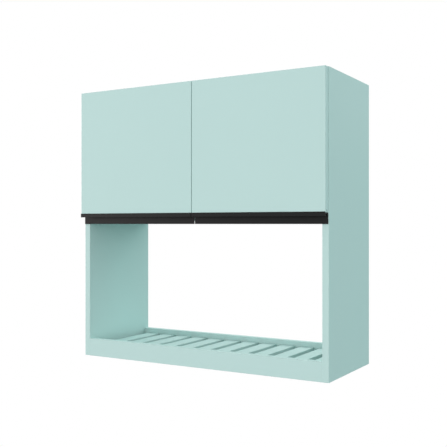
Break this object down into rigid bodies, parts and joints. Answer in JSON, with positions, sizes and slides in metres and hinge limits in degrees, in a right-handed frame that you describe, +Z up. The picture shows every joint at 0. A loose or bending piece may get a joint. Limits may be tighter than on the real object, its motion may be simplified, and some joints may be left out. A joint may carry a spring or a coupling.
{
  "type": "dish drying cabinet",
  "caption": "Wall-hung kitchen cabinet: a closed cupboard with paired doors on cup hinges above an open bay whose floor is a slatted dish drying rack.",
  "frame": {"origin": "under the middle of the whole cabinet with its doors shut, handles included, at the height of its underside", "axes": "+X to the right as seen from the room, +Y towards the wall, +Z up; the doors face -Y"},
  "size_m": [0.8, 0.322, 0.8],
  "materials": {
    "mint_board": "satin pale mint lacquer over particle board",
    "black_profile": "satin black anodised",
    "plated_steel": "bright nickel plate",
    "hanger_plastic": "matte off-white",
    "bumper_rubber": "frosted, soft"
  },
  "bodies": {
    "carcass": {"back_panel": "mint_board", "cupboard_floor": "mint_board", "front_rail": "mint_board", "front_slat_ledge": "mint_board", "inner_shelf": "mint_board", "left_front_shelf_support": "plated_steel", "left_hanger_body": "hanger_plastic", "left_hanger_hook": "plated_steel", "left_lower_hinge_arm": "plated_steel", "left_lower_hinge_plate": "plated_steel", "left_rear_shelf_support": "plated_steel", "left_side_panel": "mint_board", "left_upper_hinge_arm": "plated_steel", "left_upper_hinge_plate": "plated_steel", "rear_rail": "mint_board", "rear_slat_ledge": "mint_board", "right_front_shelf_support": "plated_steel", "right_hanger_body": "hanger_plastic", "right_hanger_hook": "plated_steel", "right_lower_hinge_arm": "plated_steel", "right_lower_hinge_plate": "plated_steel", "right_rear_shelf_support": "plated_steel", "right_side_panel": "mint_board", "right_upper_hinge_arm": "plated_steel", "right_upper_hinge_plate": "plated_steel", "slat_01": "mint_board", "slat_02": "mint_board", "slat_03": "mint_board", "slat_04": "mint_board", "slat_05": "mint_board", "slat_06": "mint_board", "slat_07": "mint_board", "slat_08": "mint_board", "slat_09": "mint_board", "slat_10": "mint_board", "slat_11": "mint_board", "slat_12": "mint_board", "top_panel": "mint_board"},
    "left_outer_links": {"left_lower_outer_link": "plated_steel", "left_upper_outer_link": "plated_steel"},
    "left_inner_links": {"left_lower_inner_link": "plated_steel", "left_upper_inner_link": "plated_steel"},
    "left_door_leaf": {"left_door": "mint_board", "left_handle_profile": "black_profile", "left_lower_bumper": "bumper_rubber", "left_lower_hinge_cup": "plated_steel", "left_upper_bumper": "bumper_rubber", "left_upper_hinge_cup": "plated_steel"},
    "right_outer_links": {"right_lower_outer_link": "plated_steel", "right_upper_outer_link": "plated_steel"},
    "right_inner_links": {"right_lower_inner_link": "plated_steel", "right_upper_inner_link": "plated_steel"},
    "right_door_leaf": {"right_door": "mint_board", "right_handle_profile": "black_profile", "right_lower_bumper": "bumper_rubber", "right_lower_hinge_cup": "plated_steel", "right_upper_bumper": "bumper_rubber", "right_upper_hinge_cup": "plated_steel"}
  },
  "joints": [
    {"name": "left_outer_links_on_arms", "type": "hinge", "parent": "carcass", "child": "left_outer_links", "pos_m": [-0.3654, -0.1428, 0.61475], "axis": [0, 0, 1], "range_deg": [0, 52]},
    {"name": "left_inner_links_on_arms", "type": "hinge", "parent": "carcass", "child": "left_inner_links", "pos_m": [-0.3605, -0.1266, 0.61475], "axis": [0, 0, 1], "range_deg": [0, 40.5]},
    {"name": "left_door_on_outer_links", "type": "hinge", "parent": "left_outer_links", "child": "left_door_leaf", "pos_m": [-0.385, -0.146, 0.61475], "axis": [0, 0, -1], "range_deg": [0, 145.8]},
    {"name": "right_outer_links_on_arms", "type": "hinge", "parent": "carcass", "child": "right_outer_links", "pos_m": [0.3654, -0.1428, 0.61475], "axis": [0, 0, -1], "range_deg": [0, 52]},
    {"name": "right_inner_links_on_arms", "type": "hinge", "parent": "carcass", "child": "right_inner_links", "pos_m": [0.3605, -0.1266, 0.61475], "axis": [0, 0, -1], "range_deg": [0, 40.5]},
    {"name": "right_door_on_outer_links", "type": "hinge", "parent": "right_outer_links", "child": "right_door_leaf", "pos_m": [0.385, -0.146, 0.61475], "axis": [0, 0, 1], "range_deg": [0, 145.8]}
  ],
  "couplings": [
    {"joint": "left_outer_links_on_arms", "follows": "left_door_on_outer_links", "ratio": 0.3555},
    {"joint": "left_inner_links_on_arms", "follows": "left_door_on_outer_links", "ratio": 0.2761},
    {"joint": "right_outer_links_on_arms", "follows": "right_door_on_outer_links", "ratio": 0.3555},
    {"joint": "right_inner_links_on_arms", "follows": "right_door_on_outer_links", "ratio": 0.2761}
  ]
}
